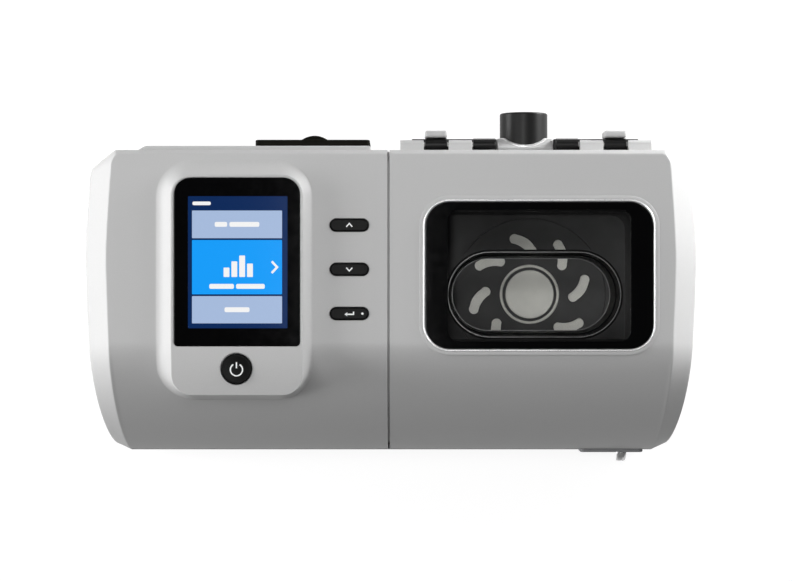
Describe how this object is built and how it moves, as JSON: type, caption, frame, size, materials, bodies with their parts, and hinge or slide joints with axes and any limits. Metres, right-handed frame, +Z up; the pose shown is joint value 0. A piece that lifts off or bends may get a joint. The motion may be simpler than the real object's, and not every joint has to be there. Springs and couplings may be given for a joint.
{
  "type": "bedside ventilator with heated humidifier",
  "caption": "Low silver bedside ventilator with a raised display pod, push buttons, and a hinged lid with a window over its heated water tank.",
  "frame": {"origin": "middle of the base's footprint, on the surface it stands on", "axes": "+X to the right seen from the front, +Y to the rear, +Z up"},
  "size_m": [0.2776, 0.1656, 0.1133],
  "materials": {
    "silver": "silver metallic paint on plastic",
    "gloss_black": "polished black",
    "black": "fine satin black",
    "smoke": "smoked clear plastic",
    "screen": "display module",
    "steel": "bright steel",
    "aluminium": "satin aluminium",
    "chrome": "polished",
    "rubber": "matte silicone",
    "board": "circuit board",
    "grey": "moulded grey plastic",
    "pale": "moulded pale grey plastic",
    "foam": "open foam and filter fleece"
  },
  "bodies": {
    "case": {"main_cover": "silver", "display_glass": "gloss_black", "lcd_module": "screen", "main_board": "board", "key_board": "board", "key_pad": "rubber", "volute_body": "grey", "volute_cover": "grey", "motor_housing": "grey", "bearing_lower": "steel", "bearing_upper": "steel", "blower_cradle": "rubber", "air_duct": "black", "duct_seal": "rubber", "intake_muffler": "foam", "dc_inlet": "black", "hinge_bar_left": "black", "hinge_pin_left": "steel", "lid_stop_left": "pale", "hinge_bar_right": "black", "hinge_pin_right": "steel", "lid_stop_right": "pale", "rear_panel": "silver", "outlet_port": "gloss_black", "outlet_seal": "rubber", "humidifier_bay": "black", "latch_spring": "steel", "heater_pad": "rubber", "heater_plate": "aluminium", "tank_base_plate": "aluminium", "swirl_plate": "black", "centre_cap": "aluminium", "tank_tub": "smoke", "tank_gasket": "rubber", "tank_cover": "smoke", "base_tray": "grey", "foot_1": "rubber", "foot_2": "rubber", "foot_3": "rubber", "foot_4": "rubber", "base_screw_1": "steel", "base_screw_2": "steel", "base_screw_3": "steel", "base_screw_4": "steel"},
    "lid": {"humidifier_lid": "silver", "window_bezel": "gloss_black", "window_pane": "smoke", "lid_liner": "black"},
    "latch": {"latch_button": "silver", "latch_tab": "chrome"},
    "rotor": {"impeller": "pale", "motor_shaft": "steel"},
    "filter": {"filter_cover": "black", "intake_filter": "foam"},
    "power": {"power_button": "black"},
    "up": {"up_button": "black"},
    "down": {"down_button": "black"},
    "enter": {"enter_button": "black"}
  },
  "joints": [
    {"name": "lid_hinge", "type": "hinge", "parent": "case", "child": "lid", "pos_m": [0.0612, 0.0674, 0.099], "axis": [-1, 0, 0], "range_deg": [0, 100]},
    {"name": "latch_press", "type": "slide", "parent": "case", "child": "latch", "axis": [0, 1, 0], "range_m": [0, 0.0025], "stiffness_N_per_m": 600, "springref_m": -0.0005, "deforming": ["latch_spring"]},
    {"name": "power_press", "type": "slide", "parent": "case", "child": "power", "axis": [0, 0, -1], "range_m": [0, 0.001], "stiffness_N_per_m": 500, "springref_m": -0.0003},
    {"name": "up_press", "type": "slide", "parent": "case", "child": "up", "axis": [0, 0, -1], "range_m": [0, 0.0008], "stiffness_N_per_m": 500, "springref_m": -0.0003},
    {"name": "down_press", "type": "slide", "parent": "case", "child": "down", "axis": [0, 0, -1], "range_m": [0, 0.0008], "stiffness_N_per_m": 500, "springref_m": -0.0003},
    {"name": "enter_press", "type": "slide", "parent": "case", "child": "enter", "axis": [0, 0, -1], "range_m": [0, 0.0008], "stiffness_N_per_m": 500, "springref_m": -0.0003},
    {"name": "filter_pull", "type": "slide", "parent": "case", "child": "filter", "axis": [0, 1, 0], "range_m": [0, 0.02]},
    {"name": "rotor_spin", "type": "hinge", "parent": "case", "child": "rotor", "pos_m": [-0.072, 0.0032, 0.066], "axis": [0, 0, 1], "continuous": true}
  ]
}
